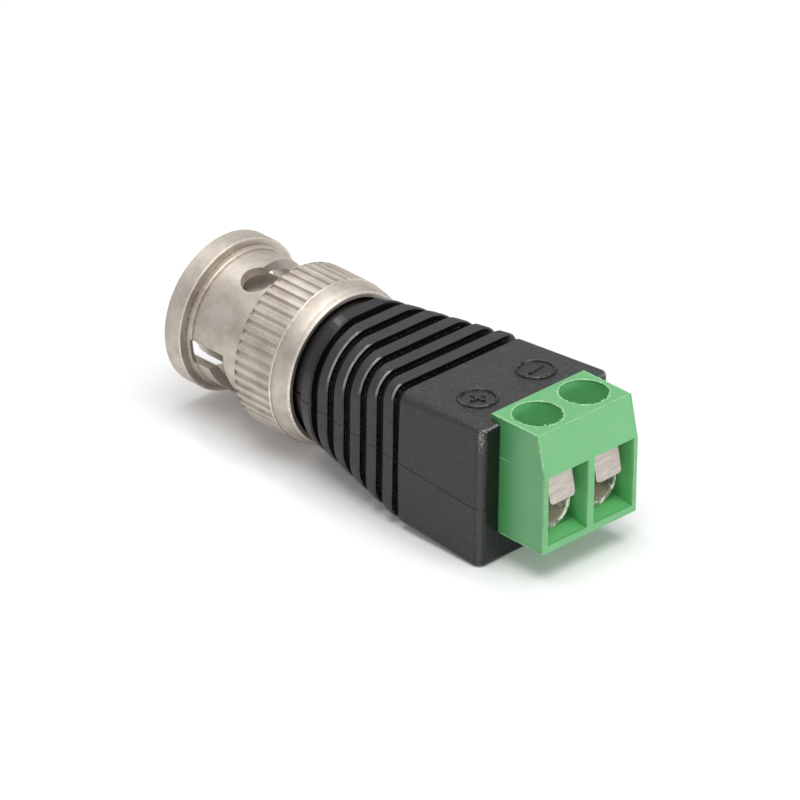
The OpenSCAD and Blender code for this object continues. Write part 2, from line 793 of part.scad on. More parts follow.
// The trough of one pole with its threaded bridge, seam and solder tail
module contact(y) {
  seam_w = 0.12;
  upper_setback = 0.35;
  axis_z = trough_floor + seat_gap + trough_r;
  color("lightgray") {
    difference() {
      translate([0, y, 0]) along_wire(trough_back, trough_front) trough_section(0);
      translate([0, y, 0]) along_wire(trough_back + strip_t, trough_front + slack) trough_section(strip_t);
      translate([trough_front - upper_setback, y - trough_r - slack, axis_z + 0.7])
        cube([slack, trough_w + 2 * slack, trough_w + slack]);
      translate([trough_front - 1.2, y - seam_w / 2, trough_floor - slack])
        cube([1.2 + slack, seam_w, slack + seat_gap + strip_t * 1.5]);
      translate([screw_x, y, 0]) cylinder(r = screw_d / 2 + screw_gap, h = trough_w);
    }
    solder_tail(y);
  }
}

module contact_plus() {
  contact(-pole_y);
}

module contact_minus() {
  contact(pole_y);
}

// The wire guard: a plate in the opening, folded back into a narrow tongue
// that lies under the screw's tip
module wire_guard(y) {
  corner = 0.35;
  foot = guard_foot;
  run = tongue_drop + guard_t;
  back = screw_x - screw_d / 2;
  fold = screw_x + screw_d / 2 + 0.25;
  color("rosybrown") {
    translate([foot, y, 0]) rotate([0, -guard_lean, 0]) difference() {
      translate([-guard_t, -guard_w / 2, 0]) cube([guard_t, guard_w, guard_h / cos(guard_lean)]);
      for (side = [-1, 1])
        translate([-guard_t - slack, side * (guard_w / 2 - corner), corner]) difference() {
          translate([0, side > 0 ? 0 : -corner - slack, -corner - slack])
            cube([guard_t + 2 * slack, corner + slack, corner + slack]);
          rotate([0, 90, 0]) cylinder(r = corner, h = guard_t + 2 * slack);
        }
    }
    across(tongue_w, y) polygon([
      [foot - guard_t / cos(guard_lean) + 0.02, 0.02],
      [foot - 0.02, 0.02],
      [foot - guard_t, -0.35],
      [fold, -run],
      [back, -run],
      [back, -tongue_drop],
      [fold - 0.1, -tongue_drop],
      [foot - 2.2 * guard_t, -0.15]
    ]);
  }
}

module wire_guard_plus() {
  wire_guard(-pole_y);
}

module wire_guard_minus() {
  wire_guard(pole_y);
}

// A clamping screw with a slotted head, at its place in the photograph
module clamp_screw(y, turn) {
  point = 0.3;
  color("slategray") translate([screw_x, y, 0]) difference() {
    rotate_extrude() polygon([
      [0, screw_tip],
      [screw_d / 2 - point, screw_tip],
      [screw_d / 2, screw_tip + point],
      [screw_d / 2, head_top - head_h],
      [head_d / 2, head_top - head_h],
      [head_d / 2, head_top - 0.2],
      [head_d / 2 - 0.2, head_top],
      [0, head_top]
    ]);
    rotate([0, 0, turn]) translate([-head_d, -driver_slot_w / 2, head_top - driver_slot_depth])
      cube([2 * head_d, driver_slot_w, head_h]);
  }
}

module screw_plus() {
  clamp_screw(-pole_y, plus_screw_turn);
}

module screw_minus() {
  clamp_screw(pole_y, minus_screw_turn);
}

coupling_nut();
thrust_washer();
wave_washer();
retaining_ring();
plug_body();
outer_contact();
insulator();
centre_pin();
gasket();
body_housing();
terminal_housing();
contact_plus();
contact_minus();
wire_guard_plus();
wire_guard_minus();
screw_plus();
screw_minus();
signal_wire();
signal_sleeve();
ground_wire();
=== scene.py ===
import math
import random

import bmesh
import bpy
from mathutils import Matrix, Vector


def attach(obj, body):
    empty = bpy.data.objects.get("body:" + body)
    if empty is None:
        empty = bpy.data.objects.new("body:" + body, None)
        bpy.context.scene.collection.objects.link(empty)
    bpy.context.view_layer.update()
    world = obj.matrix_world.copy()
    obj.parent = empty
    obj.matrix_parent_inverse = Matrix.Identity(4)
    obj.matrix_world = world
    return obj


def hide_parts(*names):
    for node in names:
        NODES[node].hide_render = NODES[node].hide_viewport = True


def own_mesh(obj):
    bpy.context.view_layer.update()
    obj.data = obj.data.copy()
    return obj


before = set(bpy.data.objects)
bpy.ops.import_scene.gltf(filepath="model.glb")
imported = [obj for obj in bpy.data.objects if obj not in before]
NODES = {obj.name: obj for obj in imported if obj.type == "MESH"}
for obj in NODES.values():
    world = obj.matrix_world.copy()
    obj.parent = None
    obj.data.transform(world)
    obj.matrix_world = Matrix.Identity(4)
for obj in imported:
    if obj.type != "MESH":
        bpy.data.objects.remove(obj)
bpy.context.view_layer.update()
MM = 0.001


def v(x, y, z):
    """A point given in millimetres, in metres."""
    return Vector((x, y, z)) * MM


# Camera, fitted to the photograph: the frame is 800 pixels wide, and FOCAL is in pixels
AZIMUTH, ELEVATION, ROLL = (math.radians(a) for a in (45.17, 28.90, 0.83))
DISTANCE, FOCAL = 602.08, 7651.14
TARGET = v(19.45, 0, -0.45)
back = Vector((math.sin(AZIMUTH) * math.cos(ELEVATION), -math.cos(AZIMUTH) * math.cos(ELEVATION), math.sin(ELEVATION)))
level = Vector((math.cos(AZIMUTH), math.sin(AZIMUTH), 0))
rise = back.cross(level)
right = level * math.cos(ROLL) + rise * math.sin(ROLL)
up = rise * math.cos(ROLL) - level * math.sin(ROLL)
cam_data = bpy.data.cameras.new("camera")
cam_data.sensor_width = 36
cam_data.lens = 36 * FOCAL / 800
cam_data.clip_start = 0.01
cam_data.clip_end = 20
cam = bpy.data.objects.new("camera", cam_data)
bpy.context.scene.collection.objects.link(cam)
axes = Matrix((right, up, back)).transposed()
cam.matrix_world = Matrix.Translation(TARGET + back * DISTANCE * MM) @ axes.to_4x4()
bpy.context.scene.camera = cam


# Node helpers

class Graph:
    """A material's nodes. Lengths in the textures are in millimetres."""

    def __init__(self, name, **shader):
        self.mat = bpy.data.materials.new(name)
        self.mat.use_nodes = True
        self.tree = self.mat.node_tree
        self.tree.nodes.clear()
        self.out = self.node("ShaderNodeOutputMaterial")
        self.bsdf = self.node("ShaderNodeBsdfPrincipled")
        self.link(self.bsdf.outputs[0], self.out.inputs[0])
        for key, value in shader.items():
            self.bsdf.inputs[key.replace("_", " ")].default_value = value
        coord = self.node("ShaderNodeTexCoord")
        scale = self.node("ShaderNodeVectorMath", operation="SCALE")
        self.link(coord.outputs["Object"], scale.inputs[0])
        scale.inputs["Scale"].default_value = 1000
        self.mm = scale.outputs[0]
        split = self.node("ShaderNodeSeparateXYZ")
        self.link(self.mm, split.inputs[0])
        self.x, self.y, self.z = split.outputs
        facing = self.node("ShaderNodeSeparateXYZ")
        self.link(coord.outputs["Normal"], facing.inputs[0])
        self.nx, self.ny, self.nz = facing.outputs

    def node(self, kind, **props):
        n = self.tree.nodes.new(kind)
        for key, value in props.items():
            setattr(n, key, value)
        return n

    def link(self, a, b):
        self.tree.links.new(a, b)

    def set(self, socket, value):
        if isinstance(value, (int, float)):
            socket.default_value = value
        else:
            self.link(value, socket)

    def math(self, op, a, b=None, c=None, clamp=False):
        n = self.node("ShaderNodeMath", operation=op, use_clamp=clamp)
        for socket, value in zip(n.inputs, (a, b, c)):
            if value is not None:
                self.set(socket, value)
        return n.outputs[0]

    def noise(self, scale, detail=2.0, rough=0.5, stretch=(1, 1, 1), shift=(0, 0, 0)):
        """Noise with `scale` features a millimetre, stretched by the factors given."""
        m = self.node("ShaderNodeMapping")
        self.link(self.mm, m.inputs[0])
        m.inputs["Location"].default_value = shift
        m.inputs["Scale"].default_value = stretch
        n = self.node("ShaderNodeTexNoise")
        self.link(m.outputs[0], n.inputs["Vector"])
        n.inputs["Scale"].default_value = scale
        n.inputs["Detail"].default_value = detail
        n.inputs["Roughness"].default_value = rough
        return n.outputs["Fac"]

    def ramp(self, value, low, high, out_low=0.0, out_high=1.0, smooth=False):
        n = self.node("ShaderNodeMapRange")
        if smooth:
            n.interpolation_type = "SMOOTHSTEP"
        for name, x in (("Value", value), ("From Min", low), ("From Max", high), ("To Min", out_low), ("To Max", out_high)):
            self.set(n.inputs[name], x)
        return n.outputs[0]

    def line(self, value, at, width):
        """1 on the plane where value equals `at`, falling to 0 at width / 2 from it."""
        off = self.math("ABSOLUTE", self.math("SUBTRACT", value, at))
        return self.ramp(off, width / 2, 0.0, smooth=True)

    def mix(self, fac, a, b):
        n = self.node("ShaderNodeMix", data_type="RGBA")
        self.set(n.inputs[0], fac)
        for socket, value in ((n.inputs[6], a), (n.inputs[7], b)):
            if isinstance(value, tuple):
                socket.default_value = (*value, 1)
            else:
                self.link(value, socket)
        return n.outputs[2]

    def times(self, *factors):
        """The product of several values."""
        total = factors[0]
        for f in factors[1:]:
            total = self.math("MULTIPLY", total, f)
        return total

    def rest(self, value):
        """What is left of 1."""
        return self.math("SUBTRACT", 1.0, value, clamp=True)

    def radius(self):
        """Distance from the X axis."""
        return self.math("SQRT", self.math("ADD", self.math("MULTIPLY", self.y, self.y), self.math("MULTIPLY", self.z, self.z)))

    def bump(self, height, strength=1.0, distance=0.00005):
        n = self.node("ShaderNodeBump")
        n.inputs["Strength"].default_value = strength
        n.inputs["Distance"].default_value = distance
        self.link(height, n.inputs["Height"])
        previous = self.bsdf.inputs["Normal"]
        if previous.is_linked:
            self.link(previous.links[0].from_socket, n.inputs["Normal"])
        self.link(n.outputs[0], self.bsdf.inputs["Normal"])

    def color(self, value):
        self.link(value, self.bsdf.inputs["Base Color"])

    def rough(self, value):
        self.link(value, self.bsdf.inputs["Roughness"])


def dress(node, mat):
    slots = NODES[node].data.materials
    if len(slots) == 0:
        slots.append(mat)
    for i in range(len(slots)):
        slots[i] = mat


# Materials

def nickel(name, light, dark, rough, wear_and_highlight=(), stain_and_shade=(), floor_r=None):
    """Satin nickel plate with faint stains. Two ring arguments take rings as (x, radius, width): pale ones of wear and
    painted highlight, dark brown ones of stain and painted shade. Inside radius floor_r along the knurl, the flute
    floors are painted darker and browner as shade.
    """
    g = Graph(name, Metallic=1.0)
    turning = g.noise(1.0, 3, 0.6, stretch=(26, 0.8, 0.8))
    stains = g.noise(0.55, 4, 0.6, shift=(3, 1, 7))
    fine = g.noise(9.0, 3, 0.65)
    grit = g.noise(22.0, 2, 0.6, shift=(5, 5, 5))
    spots = g.noise(5.0, 3, 0.6, shift=(1, 9, 2))
    tone = g.math("ADD", g.math("MULTIPLY", stains, 0.65), g.math("MULTIPLY", fine, 0.35))
    color = g.mix(g.ramp(tone, 0.36, 0.60), dark, light)
    satin = g.ramp(g.math("ADD", g.math("MULTIPLY", turning, 0.5), g.math("MULTIPLY", fine, 0.5)), 0.3, 0.7, rough - 0.07, rough + 0.08)
    r = g.radius()
    if floor_r:
        # Painted shade: the flute floors darker and browner
        low = g.times(g.ramp(r, floor_r, floor_r - 0.1, smooth=True), g.ramp(g.x, 7.5, 7.7), g.ramp(g.x, 12.0, 11.8))
        color = g.mix(g.times(low, 0.22), color, (0.36, 0.29, 0.22))
    # Dark brown rings: part stain, part painted shade and painted dark reflection
    for x, ring_r, width in stain_and_shade:
        ring = g.times(g.line(g.x, x, width), g.line(r, ring_r, 0.9), g.ramp(spots, 0.38, 0.62, 0.45, 1.0))
        color = g.mix(g.times(ring, 0.9), color, (0.20, 0.14, 0.09))
    # Pale rings on the edges: part wear, part painted highlight
    for x, ring_r, width in wear_and_highlight:
        ring = g.times(g.line(g.x, x, width), g.line(r, ring_r, 0.5), g.ramp(spots, 0.42, 0.58, 0.3, 1.0))
        color = g.mix(ring, color, (0.92, 0.89, 0.83))
        satin = g.math("SUBTRACT", satin, g.times(ring, 0.2))
    g.color(color)
    g.rough(satin)
    g.bump(turning, 0.35, 0.00001)
    g.bump(fine, 0.8, 0.000014)
    g.bump(grit, 0.7, 0.00001)
    return g.mat


nickel_nut = nickel(
    "nickel_nut", (0.62, 0.57, 0.515), (0.46, 0.405, 0.345), 0.53,
    wear_and_highlight=((1.05, 6.6, 0.22), (11.85, 6.95, 0.30), (7.65, 6.85, 0.25), (13.45, 6.4, 0.22)),
    stain_and_shade=((1.25, 6.05, 0.55), (1.70, 5.85, 0.40), (13.62, 6.2, 0.25)), floor_r=6.84)
nickel_body = nickel("nickel_body", (0.80, 0.77, 0.71), (0.68, 0.64, 0.57), 0.38)


def plain_metal(name, color, rough, stretch, depth=0.00001):
    """Rolled or plated sheet metal, with its grain along the short side of the stretch."""
    g = Graph(name, Metallic=1.0)
    grain = g.noise(1.0, 3, 0.6, stretch=stretch)
    patch = g.noise(1.6, 3, 0.5, shift=(9, 2, 4))
    dark = tuple(c * 0.74 for c in color)
    g.color(g.mix(g.ramp(g.math("ADD", g.math("MULTIPLY", grain, 0.75), g.math("MULTIPLY", patch, 0.25)), 0.38, 0.62), dark, color))
    g.rough(g.ramp(grain, 0.3, 0.7, rough - 0.05, rough + 0.08))
    g.bump(grain, 0.4, depth)
    return g.mat


def tin():
    """Bright tin plate, with a painted warm pool of light on the upward-facing floor of the troughs, and painted shade
    in the hollows of its bumped folds.
    """
    g = Graph("tinned_brass", Metallic=0.15)
    grain = g.noise(1.0, 3, 0.6, stretch=(3, 8, 8))
    folds = g.noise(1.3, 2, 0.5, shift=(2, 2, 6))
    # Painted light: a warm pool of light where the faces turn up, low in the troughs
    floor = g.times(g.ramp(g.nz, 0.35, 0.9, smooth=True), g.ramp(g.z, -0.2, -1.2, smooth=True))
    # Painted shade: the hollows of the folds, which the bump below sinks, darker
    color = g.mix(g.ramp(folds, 0.42, 0.54), (0.30, 0.29, 0.24), (1.0, 0.97, 0.90))
    color = g.mix(floor, color, (1.0, 0.90, 0.76))
    g.color(color)
    g.rough(g.ramp(grain, 0.3, 0.7, 0.30, 0.45))
    g.bump(grain, 0.4, 0.00001)
    g.bump(folds, 0.6, 0.00012)
    return g.mat


tinned_brass = tin()
spring_steel = plain_metal("spring_steel", (0.56, 0.55, 0.54), 0.3, (4, 4, 12))
guard_steel = plain_metal("guard_steel", (0.51, 0.46, 0.42), 0.38, (0.8, 0.7, 11), 0.000016)
screw_steel = plain_metal("screw_steel", (0.60, 0.60, 0.57), 0.3, (5, 5, 2))
gold_pin = plain_metal("gold_pin", (0.83, 0.62, 0.27), 0.2, (12, 2, 2))
copper = plain_metal("copper", (0.78, 0.42, 0.27), 0.3, (2, 9, 9))


# The terminal's holes and edges, as in the CAD source
HOLE_X, HOLE_Y, HOLE_R = 37.0, 2.54, 2.035
T_FRONT, T_SLOPE, T_TOP, T_FACE, T_BOTTOM, T_HALF = 40.45, 39.54, 6.36, 2.94, -3.69, 5.08


def green_plastic():
    """Satin green plastic, painted lighter as light in the holes and the pockets, painted darker as shade on its -Y
    side near the black body, with a faint moulding line painted pale as its highlight.
    """
    g = Graph("green_plastic", IOR=1.52)
    broad = g.noise(0.35, 3, 0.5)
    fine = g.noise(11.0, 3, 0.6)
    ripple = g.noise(0.9, 3, 0.6, shift=(4, 7, 1))
    off_x = g.math("SUBTRACT", g.x, HOLE_X)
    off_y = g.math("SUBTRACT", g.math("ABSOLUTE", g.y), HOLE_Y)
    reach = g.math("SQRT", g.math("ADD", g.times(off_x, off_x), g.times(off_y, off_y)))
    # Painted light: the holes' walls lighter and greener
    hole_painted_light = g.times(g.ramp(reach, HOLE_R + 0.08, HOLE_R + 0.02), g.ramp(g.z, 6.3, 6.1))
    # Painted shade: the -Y side darker towards the black body
    painted_shade_near_body = g.times(g.ramp(g.ny, -0.5, -0.9), g.ramp(g.x, 38.6, 35.6, smooth=True))
    # Painted light: the insides of the wire pockets lighter
    pocket_painted_light = g.times(g.ramp(g.x, 40.36, 40.22), g.ramp(g.math("ABSOLUTE", g.y), 4.75, 4.70), g.ramp(g.math("ABSOLUTE", g.z), 3.3, 3.2))
    color = g.mix(g.ramp(broad, 0.3, 0.7), (0.145, 0.455, 0.185), (0.168, 0.485, 0.208))
    color = g.mix(g.times(painted_shade_near_body, 0.8), color, (0.075, 0.385, 0.115))
    color = g.mix(hole_painted_light, color, (0.19, 0.67, 0.26))
    color = g.mix(pocket_painted_light, color, (0.16, 0.60, 0.205))
    # The sides pale towards their front edge, and the top towards its sides, with a torn seam along each side whose
    # pale line is a painted highlight on its step
    frayed = g.noise(1.8, 3, 0.6, shift=(6, 2, 8))
    sides = g.ramp(g.math("ABSOLUTE", g.ny), 0.6, 0.9)
    ahead = g.math("SUBTRACT", T_FRONT, g.x)
    fall = math.atan2(T_FRONT - T_SLOPE, T_TOP - T_FACE)
    sloped = g.math("ADD", g.math("MULTIPLY", ahead, math.cos(fall)),
                    g.math("MULTIPLY", g.math("SUBTRACT", T_FACE, g.z), math.sin(fall)))
    rim = g.times(g.ramp(g.math("MINIMUM", ahead, sloped), 0.42, 0.02, smooth=True), sides)
    lip = g.times(g.ramp(g.math("ABSOLUTE", g.y), T_HALF - 0.32, T_HALF, smooth=True), g.ramp(g.nz, 0.6, 0.9))
    paler = g.times(g.math("MAXIMUM", rim, lip), g.ramp(frayed, 0.35, 0.6, 0.3, 0.8))
    color = g.mix(paler, color, (0.36, 0.70, 0.32))
    # Painted highlight along the seam
    seam_highlight = g.times(g.line(g.z, T_FACE, 0.12), sides, g.ramp(frayed, 0.46, 0.58, 0.1, 0.8))
    color = g.mix(seam_highlight, color, (0.42, 0.68, 0.42))
    g.color(color)
    g.rough(g.ramp(fine, 0.3, 0.7, 0.36, 0.46))
    g.bump(fine, 0.3, 0.000012)
    g.bump(ripple, 0.3, 0.00006)
    g.bump(broad, 0.3, 0.00008)
    g.bsdf.inputs["Subsurface Weight"].default_value = 0.15
    g.bsdf.inputs["Subsurface Radius"].default_value = (0.5, 1.0, 0.6)
    g.bsdf.inputs["Subsurface Scale"].default_value = 0.0006
    return g.mat


def pale_green():
    """The whitened flash along the moulding's edges."""
    g = Graph("pale_green", IOR=1.47)
    fine = g.noise(3.6, 3, 0.65)
    g.color(g.mix(g.ramp(fine, 0.42, 0.58), (0.20, 0.52, 0.23), (0.44, 0.70, 0.41)))
    g.rough(g.ramp(fine, 0.3, 0.7, 0.4, 0.55))
    return g.mat


# The places of the ribs and the block, as in the CAD source
RIBS_FRONT, RIB_PITCH, RIB_W = 14.63, 1.95, 1.14
BLOCK_FRONT, BLOCK_BACK = 26.33, 35.5
TOP_FRONT, TOP_REAR, TOP_FLAT_X = 5.56, 5.85, 34.25


def block_top(x):
    """Height of the block's top, which climbs a little towards the rear."""
    return TOP_FRONT + (TOP_REAR - TOP_FRONT) * min(1.0, (x - BLOCK_FRONT) / (TOP_FLAT_X - BLOCK_FRONT))


def black_moulding():
    """Black plastic: spark-textured lands, a glossy neck, glossy rear walls with painted shade, edges painted pale as
    wear and highlight, painted glints, and a parting line.
    """
    g = Graph("black_moulding", IOR=1.5)
    turn = g.math("WRAP", g.math("SUBTRACT", g.x, RIBS_FRONT), RIB_PITCH, 0.0)
    on_block = g.ramp(g.x, BLOCK_FRONT - 0.05, BLOCK_FRONT + 0.05, smooth=True)
    on_neck = g.ramp(g.x, RIBS_FRONT + RIB_W + 0.15, RIBS_FRONT + RIB_W, smooth=True)
    on_ribs = g.times(g.rest(on_block), g.rest(on_neck))
    wall = g.ramp(g.nx, 0.55, 0.85, smooth=True)
    floor = g.times(g.ramp(turn, RIB_W, RIB_W + 0.04), on_ribs, g.rest(wall))
    edge = g.times(g.ramp(g.nx, 0.30, 0.55, smooth=True), g.ramp(g.nx, 0.95, 0.75, smooth=True))
    shoulder = g.ramp(g.math("MULTIPLY", g.math("MULTIPLY", g.ny, g.nz), -1.0), 0.03, 0.2, smooth=True)
    # How far below the ribs' rounded outline a point lies: their half width, top and corner change along X
    along = g.math("SUBTRACT", g.x, RIBS_FRONT)
    length = BLOCK_FRONT - RIBS_FRONT
    half_w = g.math("MULTIPLY_ADD", along, (6.95 - 6.25) / length, 6.25)
    top = g.math("MULTIPLY_ADD", along, (TOP_FRONT - 6.15) / length, 6.15)
    corner_r = g.math("MULTIPLY_ADD", along, (1.1 - 5.95) / length, 5.95)
    over_y = g.math("MAXIMUM", g.math("ADD", g.math("SUBTRACT", g.math("ABSOLUTE", g.y), half_w), corner_r), 0.0)
    over_z = g.math("MAXIMUM", g.math("ADD", g.math("SUBTRACT", g.z, top), corner_r), 0.0)
    depth = g.math("SUBTRACT", corner_r, g.math("SQRT", g.math("ADD", g.times(over_y, over_y), g.times(over_z, over_z))))
    spark = g.noise(9.5, 4, 0.7)
    leather = g.noise(4.2, 3, 0.62, shift=(2, 8, 5))
    cloud = g.noise(1.1, 3, 0.6)
    drag = g.noise(1.0, 3, 0.6, stretch=(2.2, 7, 7), shift=(4, 4, 4))
    dots = g.noise(12.0, 2, 0.5, shift=(7, 1, 3))
    smooth = g.math("MAXIMUM", g.math("MAXIMUM", on_neck, wall), g.times(floor, 0.7))
    matt = g.rest(smooth)
    color = g.mix(g.ramp(cloud, 0.3, 0.7), (0.016, 0.016, 0.017), (0.025, 0.025, 0.026))
    upper = g.times(g.ramp(g.nz, 0.6, 0.9, smooth=True), g.ramp(g.x, BLOCK_FRONT - 0.05, BLOCK_FRONT + 0.05))
    color = g.mix(g.times(upper, g.ramp(leather, 0.50, 0.62), 0.45), color, (0.09, 0.09, 0.091))
    # Painted shade: the groove floors a little darker, and the faces turned to +X, the ribs' rear walls and the
    # block's rear face, near black
    color = g.mix(floor, color, (0.014, 0.014, 0.0145))
    color = g.mix(g.times(wall, 0.9), color, (0.003, 0.003, 0.003))
    color = g.mix(on_neck, color, (0.006, 0.006, 0.006))
    # Painted grey again deeper down each rib's rear wall; painted glints at the foot of each groove; a pale line on
    # each rib's rear edge where it turns up and towards -Y, part wear, part painted highlight; and a rough rim round
    # the block painted grey with glints, brightest at its top corner
    strip_grey = g.times(g.ramp(depth, 0.40, 0.50, smooth=True), on_ribs, wall)
    foot = g.times(g.line(depth, 0.36, 0.16), on_ribs, wall, g.ramp(dots, 0.57, 0.64))
    wear_and_highlight = g.times(edge, on_ribs, g.ramp(shoulder, 0.0, 1.0, 0.12, 1.0), g.ramp(cloud, 0.35, 0.6, 0.5, 1.0))
    rim = g.times(edge, g.ramp(g.x, BLOCK_BACK - 0.9, BLOCK_BACK - 0.4), g.ramp(dots, 0.40, 0.62, 0.15, 1.0))
    corner = g.times(rim, g.ramp(g.z, 3.6, 4.9))
    color = g.mix(g.times(strip_grey, 0.9), color, (0.022, 0.022, 0.023))
    color = g.mix(g.times(foot, 0.85), color, (0.36, 0.36, 0.35))
    color = g.mix(g.times(wear_and_highlight, 0.8), color, (0.42, 0.42, 0.41))
    color = g.mix(g.times(rim, 0.45), color, (0.12, 0.12, 0.12))
    color = g.mix(g.times(corner, g.ramp(dots, 0.5, 0.58)), color, (0.50, 0.50, 0.49))
    # The parting line falls towards the rear
    parting = g.math("ADD", g.z, g.math("MULTIPLY", g.math("SUBTRACT", g.x, 26.5), 0.06))
    line = g.line(parting, -0.62, 0.20)
    color = g.mix(g.times(line, g.ramp(on_block, 0.0, 1.0, 0.45, 0.85)), color, (0.002, 0.002, 0.002))
    g.color(color)
    matt_rough = g.ramp(g.math("ADD", g.math("MULTIPLY", spark, 0.7), g.math("MULTIPLY", drag, 0.3)), 0.35, 0.65, 0.42, 0.58)
    g.rough(g.math("ADD", g.times(matt_rough, matt), g.times(smooth, g.ramp(on_neck, 0.0, 1.0, 0.22, 0.29))))
    g.bump(g.times(spark, g.ramp(matt, 0.0, 1.0, 0.05, 0.95)), 0.8, 0.00004)
    g.bump(g.times(leather, matt, g.ramp(upper, 0.0, 1.0, 0.4, 1.0)), 0.9, 0.0002)
    g.bump(g.times(drag, matt), 0.35, 0.00004)
    g.bump(g.times(g.noise(3.2, 3, 0.6, shift=(1, 2, 3)), on_block, wall), 0.8, 0.0001)
    g.bump(g.math("MULTIPLY", line, -1.0), 1.0, 0.00025)
    return g.mat


def mark_black():
    """The same plastic on the raised marks, rubbed glossier."""
    g = Graph("mark_black", IOR=1.5)
    fine = g.noise(8.0, 3, 0.6)
    dots = g.noise(3.0, 2, 0.5, shift=(3, 3, 1))
    g.color(g.mix(g.ramp(dots, 0.55, 0.68), (0.008, 0.008, 0.008), (0.06, 0.06, 0.06)))
    g.rough(g.ramp(fine, 0.3, 0.7, 0.18, 0.34))
    g.bump(fine, 0.4, 0.00003)
    return g.mat


def plain_plastic(name, color, rough):
    g = Graph(name, IOR=1.46)
    fine = g.noise(6.0, 3, 0.6)
    dark = tuple(c * 0.85 for c in color)
    g.color(g.mix(g.ramp(fine, 0.3, 0.7), dark, color))
    g.rough(g.ramp(fine, 0.3, 0.7, rough - 0.06, rough + 0.06))
    g.bump(fine, 0.2, 0.00001)
    return g.mat


black = black_moulding()
mark = mark_black()
green = green_plastic()
pale = pale_green()
insulator_white = plain_plastic("white_insulator", (0.82, 0.82, 0.79), 0.35)
gasket_rubber = plain_plastic("gasket_rubber", (0.17, 0.035, 0.025), 0.6)
sleeve_plastic = plain_plastic("sleeve_plastic", (0.45, 0.03, 0.025), 0.4)

for node, mat in (
    ("coupling_nut", nickel_nut), ("thrust_washer", spring_steel), ("wave_washer", spring_steel),
    ("retaining_ring", spring_steel), ("plug_body", nickel_body), ("outer_contact", nickel_body),
    ("insulator", insulator_white), ("centre_pin", gold_pin), ("gasket", gasket_rubber),
    ("body_housing", black), ("terminal_housing", green), ("contact_plus", tinned_brass),
    ("contact_minus", tinned_brass), ("wire_guard_plus", guard_steel), ("wire_guard_minus", guard_steel),
    ("screw_plus", screw_steel), ("screw_minus", screw_steel), ("signal_wire", copper),
    ("signal_sleeve", sleeve_plastic), ("ground_wire", copper),
):
    dress(node, mat)


# Pieces

def piece(name, bm, mat, body):
    mesh = bpy.data.meshes.new(name)
    bm.normal_update()
    bm.to_mesh(mesh)
    bm.free()
    for p in mesh.polygons:
        p.use_smooth = True
    mesh.materials.append(mat)
    obj = bpy.data.objects.new(name, mesh)
    bpy.context.scene.collection.objects.link(obj)
    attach(obj, body)
    return obj


def strip(bm, path, side, normal, width, height, closed=False, wobble=0.0, seed=1, sink=0.03):
    """A low rounded bead laid along a path of points. side and normal give each point's two directions."""
    rng = random.Random(seed)
    profile = [(-1.0, 0.0), (-0.75, 0.62), (-0.3, 0.95), (0.3, 0.95), (0.75, 0.62), (1.0, 0.0)]
    rings = []
    for i, p in enumerate(path):
        s, n = side[i], normal[i]
        w = width / 2 * (1 + wobble * rng.uniform(-1, 1))
        h = height * (1 + wobble * rng.uniform(-1, 1))
        base = [(-1.0, -sink)] + profile + [(1.0, -sink)]
        row = []
        for a, b in base:
            z = b * MM if b < 0 else b * h
            row.append(bm.verts.new(p + s * (a * w) + n * z))
        rings.append(row)
    count = len(rings)
    for i in range(count if closed else count - 1):
        a, b = rings[i], rings[(i + 1) % count]
        for k in range(len(a)):
            m = (k + 1) % len(a)
            bm.faces.new((a[k], b[k], b[m], a[m]))
    if not closed:
        bm.faces.new(list(reversed(rings[0])))
        bm.faces.new(rings[-1])


def polarity_mark(name, x, y, plus, seed):
    """A raised ring with a plus or a minus in it, moulded on top of the black body."""
    bm = bmesh.new()
    radius = 1.5
    climb = (TOP_REAR - TOP_FRONT) / (TOP_FLAT_X - BLOCK_FRONT)
    z_up = Vector((-climb, 0, 1)).normalized()
    path, side = [], []
    for i in range(96):
        a = math.tau * i / 96
        d = Vector((math.cos(a), math.sin(a), 0))
        px = x + radius * d.x
        path.append(v(px, y + radius * d.y, block_top(px)))
        side.append(d)
    strip(bm, path, side, [z_up] * 96, 0.32 * MM, 0.20 * MM, closed=True, wobble=0.16, seed=seed)
    bars = [((0.12, -0.85), (-0.10, 0.85))]
    if plus:
        bars = [((0, -0.72), (0, 0.72)), ((-0.72, 0), (0.72, 0))]
    for (x0, y0), (x1, y1) in bars:
        start = v(x + x0, y + y0, block_top(x + x0))
        end = v(x + x1, y + y1, block_top(x + x1))
        along = (end - start).normalized()
        across = along.cross(z_up)
        steps = [start + (end - start) * t for t in (0, 0.04, 0.2, 0.4, 0.6, 0.8, 0.96, 1)]
        strip(bm, steps, [across] * 8, [z_up] * 8, 0.30 * MM, 0.18 * MM, wobble=0.2, seed=seed + 1)
    piece(name, bm, mark, "plug")


polarity_mark("mark_plus", 31.38, -3.41, True, 11)
polarity_mark("mark_minus", 31.19, 3.18, False, 12)


def hole_burr(name, y, seed):
    """The torn, whitened rim that moulding flash leaves round a screwdriver hole."""
    bm = bmesh.new()
    count = 120
    path, side = [], []
    rng = random.Random(seed)
    ragged = [rng.uniform(-1, 1) for _ in range(count)]
    for i in range(count):
        a = math.tau * i / count
        d = Vector((math.cos(a), math.sin(a), 0))
        torn = max(0.0, math.cos(a - math.radians(-20))) ** 0.7
        r = HOLE_R + 0.02 - 0.24 * torn * max(0.0, ragged[i])
        path.append(v(HOLE_X + r * d.x, y + r * d.y, T_TOP - 0.01))
        side.append(d)
    strip(bm, path, side, [Vector((0, 0, 1))] * count, 0.16 * MM, 0.045 * MM, closed=True, wobble=0.5, seed=seed)
    piece(name, bm, pale, "plug")


hole_burr("hole_burr_plus", -HOLE_Y, 21)
hole_burr("hole_burr_minus", HOLE_Y, 22)


